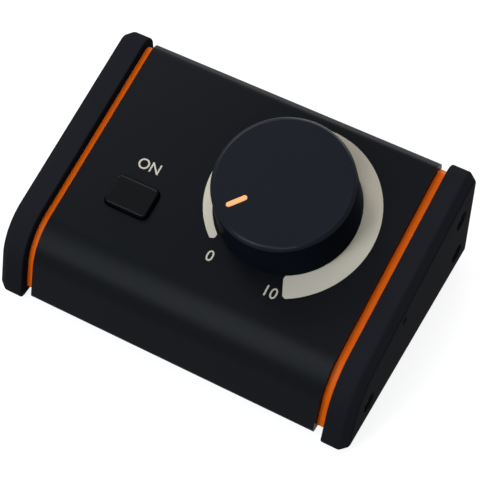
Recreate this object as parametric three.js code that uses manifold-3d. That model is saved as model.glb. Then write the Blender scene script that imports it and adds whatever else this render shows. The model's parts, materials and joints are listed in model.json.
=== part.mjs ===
// Desktop studio monitor controller: a black wedge-shaped metal case between two moulded end
// cheeks, with an orange trim plate in each joint, a large volume knob, a mono push button and a
// row of jack sockets at the back. Millimetres, X to the right, Y to the back, Z up. The origin is
// on the table, under the middle of the whole object's box.
import * as THREE from 'three';
import { ConvexGeometry } from 'three/addons/geometries/ConvexGeometry.js';
import { mergeVertices } from 'three/addons/utils/BufferGeometryUtils.js';
import Module from 'manifold-3d';

const wasm = await Module();
wasm.setup();

// Gaps and facets
const clearance = 0.3;
const overrun = 1;
const bendSteps = 20;
const smallBendSteps = 5;
const roundSteps = 24;
const fineRoundSteps = 64;

// Case: side profile through the corners where its flat faces would meet
const caseWidth = 104;
const topSlope = 13.4;
const frontLean = 16.8;
const frontHeight = 23.25;
const topLength = 81.5;
const frontBend = 18;
const rearBend = 4;
const footBend = 1.6;
const sheet = 1.5;
const flangeLength = 9;
const studDiameter = 5;

// Tray: floor and two end walls
const traySheet = 1.2;

// Trim plates: how far each edge stays inside the case profile
const trimThickness = 3.2;
const trimFrontInset = 2.3;
const trimTopInset = 2.8;
const trimRearInset = 0.4;
const trimBottomInset = 1;
const trimFrontBend = 17.7;
const trimRearBend = 3;

// Cheeks: how far each edge stands outside the case profile
const cheekThickness = 9;
const cheekFrontProud = 1.15;
const cheekTopProud = 0.8;
const cheekRearProud = 1.5;
const cheekBottomProud = 1.3;
const cheekFrontBend = 20.4;
const cheekRearBend = 5.1;
const cheekCorner = 2;
const faceCorner = 1.2;
const chamferDepth = 2.8;
const chamferInset = 2.1;
const counterboreDepth = 3.4;
const counterboreDiameter = 6.6;
const pegHoleDiameter = 2.4;
const pegHoleDepth = 1.6;

// Cheek fixings: places measured from the rear face, the front corner and the case bottom
const rearFixingInset = 9.2;
const rearFixingTop = 27;
const rearFixingBottom = 8.8;
const frontFixingBack = 6.9;
const frontFixingUp = 8.9;
const pegHoleBack = 29.7;
const pegHoleUp = 24.3;

// Screws and nuts
const threadDiameter = 2.9;
const screwHeadDiameter = 5.6;
const screwHeadHeight = 2.2;
const crownShare = 0.7;
const recessWidth = 0.8;
const recessSpan = 3.2;
const recessDepth = 1.2;
const bossDiameter = 5.6;
const bossLength = 3;
const cheekScrewLength = 12.2;
const baseScrewLength = 4.4;
const boardScrewLength = 4.2;

// Feet
const footDiameter = 12;
const footTipDiameter = 10.6;
const footHeight = 3.5;
const footSideInset = 10;
const frontFootBack = 12;
const rearFootInset = 18;

// Base screws, seen from below
const baseScrewSideInset = 22;
const frontBaseScrewBack = 5.4;
const rearBaseScrewInset = 5;

// Volume control: its centre from the case's right end and from the rear corner of the slope
const knobFromRight = 36;
const knobFromRear = 35.75;
const knobRestAngle = 40.5;
const knobHeight = 18.6;
const knobLift = 0.8;
const knobBaseRadius = 23.3;
const knobTaper = 0.8;
const knobRim = 1;
const knobWall = 4;
const knobCeiling = 4;
const knobRoof = 3.3;
const hubRadius = 7.5;
const pointerLength = 7;
const pointerRimInset = 3.7;
const pointerWidth = 1.7;
const pointerDepth = 0.8;
const grubDiameter = 2.7;
const grubLength = 3.4;
const grubHeight = 9;

// Potentiometer
const shaftDiameter = 6;
const shaftFlatDepth = 1.2;
const shaftFlatLength = 9;
const bushingDiameter = 8;
const bushingReach = 4;
const housingDiameter = 16.5;
const housingDepth = 9.5;
const housingFloor = 0.8;
const terminalWidth = 13;
const terminalReach = 3.2;
const terminalThickness = 4;
const washerDiameter = 13;
const washerThickness = 0.6;
const potNutAcross = 11;
const potNutThickness = 2.2;

// Mono button and its latching switch: its centre from the case's left end and up the slope
const buttonFromLeft = 20.9;
const buttonUpSlope = 27.2;
const buttonWidth = 15.4;
const buttonLength = 10.5;
const buttonCorner = 1.8;
const buttonProud = 2;
const buttonBevel = 0.5;
const buttonBevelSteps = 2;
const buttonWall = 1.3;
const buttonFlange = 1.2;
const buttonFlangeThickness = 1.2;
const buttonFlangeDrop = 0.9;
const buttonGap = 0.55;
const stemSide = 3.5;
const socketWall = 1.4;
const stemEngagement = 2;
const switchSide = 8.4;
const switchHeight = 5.2;
const switchWall = 0.8;
const collarLip = 0.45;
const collarThickness = 0.6;
const springWire = 0.4;
const springRadius = 1.75;
const springTurns = 3;
const springSides = 5;
const springStepsPerTurn = 8;
const guideSide = 2;
const guideLength = 0.9;

// Boards: the control board reaches past the knob's and the button's centres, and the jack board
// reaches forward of the jacks
const boardThickness = 1.6;
const controlBoardSideGap = 3.5;
const controlBoardPastKnob = 15;
const controlBoardPastButton = 10.2;
const controlStudInset = 4;
const leftStudRearInset = 10;
const jackBoardSideGap = 6;
const jackBoardApron = 26;
const standoffHeight = 3;
const standoffDiameter = 5.5;
const standoffSideInset = 5;
const standoffFrontInset = 6;
const standoffJackGap = 7;
const headerWidth = 12.6;
const headerLength = 5;
const headerHeight = 3.2;
const headerAcross = -10;
const upperHeaderInset = 14;
const lowerHeaderInset = 10;
const ribbonWidth = 10.2;
const ribbonThickness = 0.9;
const ribbonLoop = 10;
const ribbonSteps = 10;

// Jack sockets on the rear panel: places along X as shares of the case's width
const outputLeftShare = -0.354;
const outputRightShare = -0.164;
const inputLeftShare = 0.05;
const inputRightShare = 0.24;
const miniJackShare = 0.395;
const jackWidth = 15.6;
const jackDepth = 23.5;
const jackHeight = 14;
const jackNoseDiameter = 11.4;
const jackNoseReach = 6.2;
const jackBore = 6.6;
const jackBackWall = 1.5;
const jackNutAcross = 14;
const jackNutThickness = 2.4;
const miniJackWidth = 8;
const miniJackDepth = 12;
const miniJackHeight = 8;
const miniJackNoseDiameter = 6;
const miniJackNoseReach = 4.2;
const miniJackBore = 3.6;
const miniJackNutDiameter = 8;
const miniJackNutThickness = 1.8;

// Derived places of the case profile, Y to the right and Z up in the side view
const slopeAngle = THREE.MathUtils.degToRad(topSlope);
const leanAngle = THREE.MathUtils.degToRad(frontLean);
const frontTop = new THREE.Vector2(0, frontHeight);
const frontBottom = new THREE.Vector2(-frontHeight * Math.tan(leanAngle), 0);
const rearTop = new THREE.Vector2(
  topLength * Math.cos(slopeAngle), frontHeight + topLength * Math.sin(slopeAngle));
const rearBottom = new THREE.Vector2(rearTop.x, 0);
const caseCorners = [frontBottom, frontTop, rearTop, rearBottom];
const rearFace = rearTop.x;
const caseEnd = caseWidth / 2;
const trimEnd = caseEnd + trimThickness;
const cheekEnd = trimEnd + cheekThickness;
const panelBelow = -sheet - clearance;
const housingBottom = panelBelow - housingDepth;
const boardTop = housingBottom - clearance;
const boardBottom = boardTop - boardThickness;
const jackBoardBottom = traySheet + standoffHeight + clearance;
const jackBoardTop = jackBoardBottom + boardThickness;
const jackFace = rearFace - sheet - clearance;
const jackFront = jackFace - jackDepth;
const jackAxis = jackBoardTop + clearance + jackHeight / 2;

// Derived places of the controls, the boards and the sockets
const knobAcross = caseEnd - knobFromRight;
const knobUpSlope = topLength - knobFromRear;
const knobTopRadius = knobBaseRadius - knobTaper;
const pointerOuter = knobTopRadius - pointerRimInset;
const shaftReach = knobHeight - knobRoof - clearance;
const buttonAcross = buttonFromLeft - caseEnd;
const controlBoardLeft = controlBoardSideGap - caseEnd;
const controlBoardRight = knobAcross + controlBoardPastKnob;
const controlBoardFront = buttonUpSlope - controlBoardPastButton;
const upperHeaderUpSlope = controlBoardFront + upperHeaderInset;
const jackBoardEnd = caseEnd - jackBoardSideGap;
const jackBoardFront = jackFront - jackBoardApron;
const lowerHeaderBack = jackBoardFront + lowerHeaderInset;
const miniJackAcross = miniJackShare * caseWidth;
const jackPlaces = {
  output_left: outputLeftShare * caseWidth,
  output_right: outputRightShare * caseWidth,
  input_left: inputLeftShare * caseWidth,
  input_right: inputRightShare * caseWidth,
};

// Up the slope, the control board ends where its lower edge is one clearance from the jacks
const controlBoardRear = (jackFront - clearance + boardBottom * Math.sin(slopeAngle))
  / Math.cos(slopeAngle);

// Colours and finishes
const finishes = {
  coatedSteel: { color: 0x1a1b1f, roughness: 0.5, metalness: 0.3 },
  cheekPlastic: { color: 0x1c1f21, roughness: 0.45, metalness: 0 },
  orangePlate: { color: 0xc8560f, roughness: 0.4, metalness: 0 },
  knobSatin: { color: 0x1e222a, roughness: 0.5, metalness: 0.1 },
  pointerPaint: { color: 0xf0a060, roughness: 0.5, metalness: 0 },
  buttonPlastic: { color: 0x1b1d20, roughness: 0.4, metalness: 0 },
  blackPlastic: { color: 0x141416, roughness: 0.55, metalness: 0 },
  blackScrew: { color: 0x2a2b2d, roughness: 0.35, metalness: 0.9 },
  plainSteel: { color: 0xa9acb0, roughness: 0.35, metalness: 1 },
  brass: { color: 0xb59a4c, roughness: 0.35, metalness: 1 },
  boardGreen: { color: 0x1f5b3a, roughness: 0.6, metalness: 0 },
  footRubber: { color: 0x101011, roughness: 0.9, metalness: 0 },
  ribbonGrey: { color: 0x8f949a, roughness: 0.6, metalness: 0 },
};

// Mesh with its own finish
function piece(name, geometry, finish) {
  const mesh = new THREE.Mesh(geometry, new THREE.MeshStandardMaterial(finishes[finish]));
  mesh.name = name;
  return mesh;
}

// Closed solid from a closed surface
function solid(geometry) {
  const bare = geometry.clone();
  bare.deleteAttribute('normal');
  bare.deleteAttribute('uv');
  const merged = mergeVertices(bare);
  const mesh = new wasm.Mesh({
    numProp: 3,
    vertProperties: new Float32Array(merged.attributes.position.array),
    triVerts: new Uint32Array(merged.index.array),
  });
  return new wasm.Manifold(mesh);
}

// Surface of a solid
function surface(body) {
  const mesh = body.getMesh();
  const geometry = new THREE.BufferGeometry();
  geometry.setAttribute('position', new THREE.BufferAttribute(mesh.vertProperties, 3));
  geometry.setIndex(new THREE.BufferAttribute(mesh.triVerts, 1));
  return geometry;
}

function cut(base, ...tools) {
  return surface(tools.reduce((body, tool) => body.subtract(solid(tool)), solid(base)));
}

function join(base, ...others) {
  return surface(others.reduce((body, other) => body.add(solid(other)), solid(base)));
}

// The same surface seen in the plane of symmetry, with its faces turned to point out again
function mirrored(geometry) {
  const twin = geometry.clone().scale(-1, 1, 1);
  const index = twin.index.array;
  for (let i = 0; i < index.length; i += 3) {
    [index[i], index[i + 1]] = [index[i + 1], index[i]];
  }
  return twin;
}

// Numbered pieces of one kind, at the given places
function pieces(name, geometry, places, finish) {
  return places.map((place, i) => {
    const mesh = piece(`${name}_${i + 1}`, geometry.clone(), finish);
    mesh.position.copy(place);
    return mesh;
  });
}

// Outline moved outwards, edge by edge, where edge i runs from corner i to the next one
function offsetOutline(corners, distances) {
  const count = corners.length;
  const lines = corners.map((start, i) => {
    const along = corners[(i + 1) % count].clone().sub(start).normalize();
    const normal = new THREE.Vector2(-along.y, along.x);
    return { normal, reach: normal.dot(start) + distances[i] };
  });
  return lines.map((line, i) => {
    const before = lines[(i + count - 1) % count];
    const cross = before.normal.cross(line.normal);
    return new THREE.Vector2(
      (before.reach * line.normal.y - line.reach * before.normal.y) / cross,
      (line.reach * before.normal.x - before.reach * line.normal.x) / cross);
  });
}

// Outline with each corner rounded by its own radius, where a radius of zero keeps it sharp
function roundedOutline(corners, radii, steps) {
  const count = corners.length;
  return corners.flatMap((corner, i) => {
    if (radii[i] === 0) return [corner.clone()];
    const toBefore = corners[(i + count - 1) % count].clone().sub(corner).normalize();
    const toNext = corners[(i + 1) % count].clone().sub(corner).normalize();
    const half = Math.acos(THREE.MathUtils.clamp(toBefore.dot(toNext), -1, 1)) / 2;
    const middle = toBefore.clone().add(toNext).normalize();
    const centre = corner.clone().addScaledVector(middle, radii[i] / Math.sin(half));
    const start = toBefore.multiplyScalar(radii[i] / Math.tan(half)).add(corner).sub(centre);
    const turn = Math.PI - 2 * half;
    const sense = Math.sign(start.cross(corner.clone().sub(centre)));
    return Array.from({ length: steps[i] + 1 }, (unused, k) =>
      start.clone().rotateAround(new THREE.Vector2(), sense * turn * k / steps[i]).add(centre));
  });
}

// Side profile carried across the object, from one X to another
const acrossAxes = new THREE.Matrix4().makeBasis(
  new THREE.Vector3(0, 1, 0), new THREE.Vector3(0, 0, 1), new THREE.Vector3(1, 0, 0));

function sideways(geometry) {
  return geometry.applyMatrix4(acrossAxes);
}

function prismAcross(outline, fromX, toX) {
  const options = { depth: toX - fromX, bevelEnabled: false };
  const prism = sideways(new THREE.ExtrudeGeometry(new THREE.Shape(outline), options));
  return prism.translate(fromX, 0, 0);
}

// Upright prism on a plan outline, from one Z to another
function prismUp(outline, fromZ, toZ) {
  const options = { depth: toZ - fromZ, bevelEnabled: false };
  const prism = new THREE.ExtrudeGeometry(new THREE.Shape(outline), options);
  return prism.translate(0, 0, fromZ);
}

function block(width, length, fromZ, toZ, x = 0, y = 0) {
  const height = toZ - fromZ;
  return new THREE.BoxGeometry(width, length, height).translate(x, y, fromZ + height / 2);
}

// Upright round rod, and the same rod lying along X or Y
function rod(diameter, fromZ, toZ, steps = roundSteps) {
  const height = toZ - fromZ;
  const cylinder = new THREE.CylinderGeometry(diameter / 2, diameter / 2, height, steps);
  return cylinder.rotateX(Math.PI / 2).translate(0, 0, fromZ + height / 2);
}

function rodAlongX(diameter, fromX, toX) {
  return rod(diameter, fromX, toX).rotateY(Math.PI / 2);
}

function rodAlongY(diameter, fromY, toY) {
  return rod(diameter, fromY, toY).rotateX(-Math.PI / 2);
}

// Turned shape from a profile of radius and height, about the upright axis
function turned(profile, steps) {
  const points = profile.map(([radius, height]) => new THREE.Vector2(radius, height));
  return new THREE.LatheGeometry(points, steps).rotateX(Math.PI / 2);
}

function ring(outerDiameter, innerDiameter, fromZ, toZ, steps = roundSteps) {
  const outer = outerDiameter / 2;
  const inner = innerDiameter / 2;
  return turned([[inner, fromZ], [outer, fromZ], [outer, toZ], [inner, toZ], [inner, fromZ]], steps);
}

function hexagon(acrossFlats) {
  const radius = acrossFlats / Math.sqrt(3);
  return Array.from({ length: 6 }, (unused, k) =>
    new THREE.Vector2(radius, 0).rotateAround(new THREE.Vector2(), k * Math.PI / 3));
}

function hexNut(acrossFlats, bore, fromZ, toZ) {
  const body = prismUp(hexagon(acrossFlats), fromZ, toZ);
  return cut(body, rod(bore, fromZ - overrun, toZ + overrun));
}

function roundedRectangle(width, length, corner) {
  const x = width / 2;
  const y = length / 2;
  const corners = [[-x, -y], [-x, y], [x, y], [x, -y]].map(([u, v]) => new THREE.Vector2(u, v));
  return roundedOutline(corners, Array(4).fill(corner), Array(4).fill(smallBendSteps));
}

// Pan-head screw, head up, with its head seated at Z 0 and a cross recess
function panScrew(length) {
  const head = screwHeadDiameter / 2;
  const thread = threadDiameter / 2;
  const shoulder = screwHeadHeight / 2;
  const crown = head * crownShare;
  const profile = [
    [0, -length], [thread, -length], [thread, 0], [head, 0], [head, shoulder],
    [crown, screwHeadHeight], [0, screwHeadHeight],
  ];
  const recessFloor = screwHeadHeight - recessDepth;
  const recessTop = screwHeadHeight + overrun;
  return cut(
    turned(profile, roundSteps),
    block(recessSpan, recessWidth, recessFloor, recessTop),
    block(recessWidth, recessSpan, recessFloor, recessTop));
}

// The sloping panel's own frame: X across, Y up the slope, Z outwards, from the front corner
function onPanel(...contents) {
  const frame = new THREE.Group();
  frame.position.set(0, frontTop.x, frontTop.y);
  frame.rotation.x = slopeAngle;
  frame.updateMatrix();
  if (contents.length > 0) frame.add(...contents);
  return frame;
}

function throughPanel(geometry, across, upSlope) {
  return geometry.translate(across, upSlope, 0).applyMatrix4(onPanel().matrix);
}

// Places of the three screws in each cheek, in the side view
const cheekFixings = [
  [rearFace - rearFixingInset, rearFixingTop],
  [rearFace - rearFixingInset, rearFixingBottom],
  [frontFixingBack, frontFixingUp],
];

const controlStuds = [
  [controlBoardLeft + controlStudInset, controlBoardRear - leftStudRearInset],
  [controlBoardRight - controlStudInset, controlBoardFront + controlStudInset],
];

const standoffRows = [jackBoardFront + standoffFrontInset, jackFront - standoffJackGap];
const standoffPlaces = [-1, 1].flatMap((side) => standoffRows
  .map((back) => new THREE.Vector3(side * (jackBoardEnd - standoffSideInset), back, 0)));

const baseScrewRows = [frontBottom.x + frontBaseScrewBack, rearFace - rearBaseScrewInset];
const baseScrewPlaces = [-1, 1].flatMap((side) => baseScrewRows
  .map((back) => new THREE.Vector3(side * (caseEnd - baseScrewSideInset), back, 0)));

// Case shell: one bent sheet for the front, the top and the rear, with a flange along each foot
function shellOutline() {
  const outer = [
    new THREE.Vector2(frontBottom.x + flangeLength, 0), ...caseCorners,
    new THREE.Vector2(rearFace - flangeLength, 0),
  ];
  const inner = [
    new THREE.Vector2(frontBottom.x + flangeLength, sheet),
    ...offsetOutline(caseCorners, Array(4).fill(-sheet)),
    new THREE.Vector2(rearFace - flangeLength, sheet),
  ];
  const steps = [0, smallBendSteps, bendSteps, smallBendSteps, smallBendSteps, 0];
  const bends = [0, footBend, frontBend, rearBend, footBend, 0];
  const innerBends = bends.map((bend) => Math.max(bend - sheet, 0));
  return [
    ...roundedOutline(outer, bends, steps),
    ...roundedOutline(inner, innerBends, steps).reverse(),
  ];
}

function topShell() {
  const blank = prismAcross(shellOutline(), -caseEnd, caseEnd);
  const studs = controlStuds.map(([across, upSlope]) => throughPanel(
    rod(studDiameter, boardTop + clearance, -sheet / 2), across, upSlope));
  const studBores = controlStuds.map(([across, upSlope]) => throughPanel(
    rod(threadDiameter + clearance, boardTop - overrun, panelBelow), across, upSlope));
  const bushingHole = throughPanel(
    rod(bushingDiameter + 2 * clearance, -sheet - overrun, overrun), knobAcross, knobUpSlope);
  const opening = roundedRectangle(
    buttonWidth + 2 * buttonGap, buttonLength + 2 * buttonGap, buttonCorner + buttonGap);
  const buttonHole = throughPanel(
    prismUp(opening, -sheet - overrun, overrun), buttonAcross, buttonUpSlope);
  const noseHoles = Object.values(jackPlaces).map((across) => rodAlongY(
    jackNoseDiameter + 2 * clearance, rearFace - sheet - overrun, rearFace + overrun)
    .translate(across, 0, jackAxis));
  const miniHole = rodAlongY(
    miniJackNoseDiameter + 2 * clearance, rearFace - sheet - overrun, rearFace + overrun)
    .translate(miniJackAcross, 0, miniJackAxis());
  const screwHoles = baseScrewPlaces.map((place) => rod(
    threadDiameter + 2 * clearance, -overrun, sheet + overrun)
    .translate(place.x, place.y, 0));
  const withStuds = join(blank, ...studs);
  const holes = [bushingHole, buttonHole, ...noseHoles, miniHole, ...screwHoles, ...studBores];
  return piece('top_shell', cut(withStuds, ...holes), 'coatedSteel');
}

// Base tray: a floor with its front and rear edges raised over the shell's flanges, and an end
// wall with screw bosses inside each end of the shell
function floorOutline() {
  const raised = sheet + clearance;
  const frontEdge = frontBottom.x + (raised + traySheet) * Math.tan(leanAngle)
    + raised / Math.cos(leanAngle);
  const frontStep = frontBottom.x + flangeLength + clearance;
  const rearStep = rearFace - flangeLength - clearance;
  const underside = [
    [frontEdge, raised], [frontStep, raised], [frontStep + raised, 0],
    [rearStep - raised, 0], [rearStep, raised], [rearFace - raised, raised],
  ].map(([y, z]) => new THREE.Vector2(y, z));
  const upperSide = underside.map((point) => new THREE.Vector2(point.x, point.y + traySheet));
  return [...underside, ...upperSide.reverse()];
}

function endWall() {
  const wallInset = -sheet - clearance;
  const corners = offsetOutline(caseCorners, [wallInset, wallInset, wallInset, 0]);
  const outline = roundedOutline(
    corners, [0, frontBend + wallInset, rearBend + wallInset, 0], [0, bendSteps, smallBendSteps, 0]);
  const flangeRooms = [frontBottom.x, rearFace].map((y) => block(
    2 * traySheet + overrun, 2 * (flangeLength + clearance), -overrun, sheet + clearance,
    caseEnd, y));
  const bosses = cheekFixings.map(([back, up]) => rodAlongX(
    bossDiameter, caseEnd - traySheet - bossLength, caseEnd - traySheet / 2)
    .translate(0, back, up));
  const bores = cheekFixings.map(([back, up]) => rodAlongX(
    threadDiameter + 2 * clearance, caseEnd - traySheet - bossLength - overrun,
    caseEnd + overrun).translate(0, back, up));
  const wall = cut(prismAcross(outline, caseEnd - traySheet, caseEnd), ...flangeRooms);
  return cut(join(wall, ...bosses), ...bores);
}

function baseTray() {
  const floor = prismAcross(floorOutline(), -caseEnd, caseEnd);
  const screwHoles = baseScrewPlaces.map((place) => rod(
    threadDiameter + 2 * clearance, -overrun, sheet + traySheet + overrun)
    .translate(place.x, place.y, 0));
  const wall = endWall();
  return piece('base_tray', cut(join(floor, wall, mirrored(wall)), ...screwHoles), 'coatedSteel');
}

// Trim plate: thin orange plate between the case and a cheek
function trimPlates() {
  const corners = offsetOutline(
    caseCorners, [-trimFrontInset, -trimTopInset, -trimRearInset, -trimBottomInset]);
  const outline = roundedOutline(
    corners, [0, trimFrontBend, trimRearBend, 0], [0, bendSteps, smallBendSteps, 0]);
  const holes = cheekFixings.map(([back, up]) => rodAlongX(
    threadDiameter + 2 * clearance, caseEnd - overrun, trimEnd + overrun).translate(0, back, up));
  const right = cut(prismAcross(outline, caseEnd, trimEnd), ...holes);
  return [piece('trim_right', right, 'orangePlate'), piece('trim_left', mirrored(right), 'orangePlate')];
}

// End cheek: moulded plate with a chamfer round its outer face and three counterbored fixings
function cheeks() {
  const corners = offsetOutline(
    caseCorners, [cheekFrontProud, cheekTopProud, cheekRearProud, cheekBottomProud]);
  const outline = roundedOutline(
    corners, [cheekCorner, cheekFrontBend, cheekRearBend, cheekCorner],
    [smallBendSteps, bendSteps, smallBendSteps, smallBendSteps]);
  const faceOutline = roundedOutline(
    offsetOutline(corners, Array(4).fill(-chamferInset)),
    [faceCorner, cheekFrontBend - chamferInset, cheekRearBend - chamferInset, faceCorner],
    [smallBendSteps, bendSteps, smallBendSteps, smallBendSteps]);
  const at = (points, x) => points.map((point) => new THREE.Vector3(x, point.x, point.y));
  const blank = new ConvexGeometry([
    ...at(outline, trimEnd), ...at(outline, cheekEnd - chamferDepth), ...at(faceOutline, cheekEnd)]);
  const bores = cheekFixings.map(([back, up]) => rodAlongX(
    threadDiameter + 2 * clearance, trimEnd - overrun, cheekEnd).translate(0, back, up));
  const counterbores = cheekFixings.map(([back, up]) => rodAlongX(
    counterboreDiameter, cheekEnd - counterboreDepth, cheekEnd + overrun).translate(0, back, up));
  const pegHole = rodAlongX(pegHoleDiameter, cheekEnd - pegHoleDepth, cheekEnd + overrun)
    .translate(0, pegHoleBack, pegHoleUp);
  const right = cut(blank, ...bores, ...counterbores, pegHole);
  return [piece('cheek_right', right, 'cheekPlastic'), piece('cheek_left', mirrored(right), 'cheekPlastic')];
}

function cheekScrews() {
  const screw = panScrew(cheekScrewLength).rotateY(Math.PI / 2);
  const seat = cheekEnd - counterboreDepth;
  const places = (side) => cheekFixings.map(([back, up]) =>
    new THREE.Vector3(side * (seat + clearance), back, up));
  return [
    ...pieces('cheek_screw_right', screw, places(1), 'blackScrew'),
    ...pieces('cheek_screw_left', mirrored(screw), places(-1), 'blackScrew'),
  ];
}

function baseScrews() {
  const screw = panScrew(baseScrewLength).rotateX(Math.PI);
  const places = baseScrewPlaces.map((place) => place.clone().setZ(-clearance));
  return pieces('base_screw', screw, places, 'blackScrew');
}

// Rubber feet, glued under the floor
function feet() {
  const profile = [
    [0, -footHeight], [footTipDiameter / 2, -footHeight], [footDiameter / 2, 0], [0, 0],
  ];
  const rows = { front: frontFootBack, rear: rearFace - rearFootInset };
  const sides = { left: -1, right: 1 };
  return Object.entries(rows).flatMap(([row, back]) =>
    Object.entries(sides).map(([side, sign]) => {
      const foot = piece(`foot_${row}_${side}`, turned(profile, roundSteps), 'footRubber');
      foot.position.set(sign * (caseEnd - footSideInset), back, 0);
      return foot;
    }));
}

// Pointer outline with rounded ends, along a line from the knob's centre
function pointerOutline(width) {
  const radius = width / 2;
  const start = pointerOuter - pointerLength + pointerWidth / 2;
  const end = pointerOuter - pointerWidth / 2;
  const turns = Array.from({ length: 2 * smallBendSteps + 1 }, (unused, k) =>
    -Math.PI / 2 + k * Math.PI / (2 * smallBendSteps));
  const outerEnd = turns.map((turn) => new THREE.Vector2(
    end + radius * Math.cos(turn), radius * Math.sin(turn)));
  const innerEnd = turns.map((turn) => new THREE.Vector2(
    start - radius * Math.cos(turn), -radius * Math.sin(turn)));
  return [...outerEnd, ...innerEnd];
}

// Shaft section: a circle, with a flat on the side that faces away from the pointer
function shaftSection() {
  const radius = shaftDiameter / 2;
  const half = Math.acos((radius - shaftFlatDepth) / radius);
  return Array.from({ length: roundSteps + 1 }, (unused, k) => {
    const angle = Math.PI + half + k * 2 * (Math.PI - half) / roundSteps;
    return new THREE.Vector2(Math.cos(angle), Math.sin(angle)).multiplyScalar(radius);
  });
}

// Knob: a turned cap with a hub that fits the flatted shaft
function volumeKnob() {
  const rimSteps = Array.from({ length: smallBendSteps + 1 }, (unused, k) =>
    k * Math.PI / (2 * smallBendSteps));
  const rim = rimSteps.map((turn) => [
    knobTopRadius - knobRim + knobRim * Math.cos(turn),
    knobHeight - knobRim + knobRim * Math.sin(turn),
  ]);
  const ceiling = knobHeight - knobCeiling;
  const boreTop = knobHeight - knobRoof;
  const hubLift = bushingReach + clearance;
  const profile = [
    [0, boreTop],
    [shaftDiameter / 2 + clearance, boreTop],
    [shaftDiameter / 2 + clearance, hubLift],
    [hubRadius, hubLift],
    [hubRadius, ceiling],
    [knobTopRadius - knobWall, ceiling],
    [knobBaseRadius - knobWall, knobLift],
    [knobBaseRadius, knobLift],
    ...rim,
    [0, knobHeight],
  ];
  const slot = prismUp(
    pointerOutline(pointerWidth + 2 * clearance),
    knobHeight - pointerDepth - clearance, knobHeight + overrun);
  const grubHole = rodAlongX(grubDiameter + 2 * clearance, -knobBaseRadius - overrun, 0)
    .translate(0, 0, grubHeight);
  const body = cut(turned(profile, fineRoundSteps), slot, grubHole);
  const pointer = prismUp(pointerOutline(pointerWidth), knobHeight - pointerDepth, knobHeight);
  const grub = rodAlongX(grubDiameter, -hubRadius, -hubRadius + grubLength)
    .translate(0, 0, grubHeight);
  return [
    piece('volume_knob', body, 'knobSatin'),
    piece('knob_pointer', pointer, 'pointerPaint'),
    piece('knob_grub_screw', grub, 'blackScrew'),
  ];
}

function potShaft() {
  const bottom = housingBottom + housingFloor + clearance;
  const round = rod(shaftDiameter, bottom, shaftReach - shaftFlatLength);
  const flatted = prismUp(shaftSection(), shaftReach - shaftFlatLength - clearance, shaftReach);
  return piece('pot_shaft', join(round, flatted), 'plainSteel');
}

// Potentiometer: round housing with a terminal strip, a threaded bushing, a washer and a nut
function potentiometer() {
  const can = rod(housingDiameter, housingBottom, panelBelow);
  const strip = block(
    terminalWidth, housingDiameter / 2 + terminalReach, housingBottom,
    housingBottom + terminalThickness, 0, -(housingDiameter / 2 + terminalReach) / 2);
  const bushing = rod(bushingDiameter, panelBelow - overrun, bushingReach);
  const boreFloor = housingBottom + housingFloor;
  const bore = rod(shaftDiameter + 2 * clearance, boreFloor, bushingReach + overrun);
  const housing = cut(join(can, strip, bushing), bore);
  const washerTop = clearance + washerThickness;
  const washer = ring(washerDiameter, bushingDiameter + 2 * clearance, clearance, washerTop);
  const nut = hexNut(
    potNutAcross, bushingDiameter + 2 * clearance,
    washerTop + clearance, washerTop + clearance + potNutThickness);
  return [
    piece('pot_housing', housing, 'plainSteel'),
    piece('pot_washer', washer, 'plainSteel'),
    piece('pot_nut', nut, 'plainSteel'),
  ];
}

function volumeControl() {
  const control = new THREE.Group();
  control.position.set(knobAcross, knobUpSlope, 0);
  const turning = new THREE.Group();
  turning.rotation.z = -Math.PI / 2 - THREE.MathUtils.degToRad(knobRestAngle);
  turning.add(...volumeKnob(), potShaft());
  control.add(turning, ...potentiometer());
  return control;
}

// Push button: hollow cap with a retaining flange and a socket for the switch stem
function monoButton() {
  const flangeTop = -sheet - buttonFlangeDrop;
  const flangeBottom = flangeTop - buttonFlangeThickness;
  const plan = roundedRectangle(buttonWidth, buttonLength, buttonCorner);
  const bevelled = new THREE.ExtrudeGeometry(new THREE.Shape(plan), {
    depth: buttonProud - buttonBevel - flangeBottom,
    bevelThickness: buttonBevel,
    bevelSize: buttonBevel,
    bevelOffset: -buttonBevel,
    bevelSegments: buttonBevelSteps,
  }).translate(0, 0, flangeBottom);
  const belowCap = block(
    2 * buttonWidth, 2 * buttonLength, flangeBottom - 2 * buttonBevel, flangeBottom);
  const flange = prismUp(roundedRectangle(
    buttonWidth + 2 * buttonFlange, buttonLength + 2 * buttonFlange, buttonCorner + buttonFlange),
  flangeBottom, flangeTop);
  const hollow = prismUp(roundedRectangle(
    buttonWidth - 2 * buttonWall, buttonLength - 2 * buttonWall, buttonCorner - buttonWall / 2),
  flangeBottom - overrun, buttonProud - buttonWall);
  const shell = surface(solid(bevelled).subtract(solid(belowCap)).add(solid(flange))
    .subtract(solid(hollow)));
  const socketSide = stemSide + 2 * clearance;
  const boss = block(
    socketSide + 2 * socketWall, socketSide + 2 * socketWall,
    flangeBottom, buttonProud - buttonWall / 2);
  const socket = block(socketSide, socketSide, flangeBottom - overrun, stemTop() + clearance);
  return piece('mono_button', cut(join(shell, boss), socket), 'buttonPlastic');
}

function stemTop() {
  return -sheet - buttonFlangeDrop - buttonFlangeThickness + stemEngagement;
}

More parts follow.
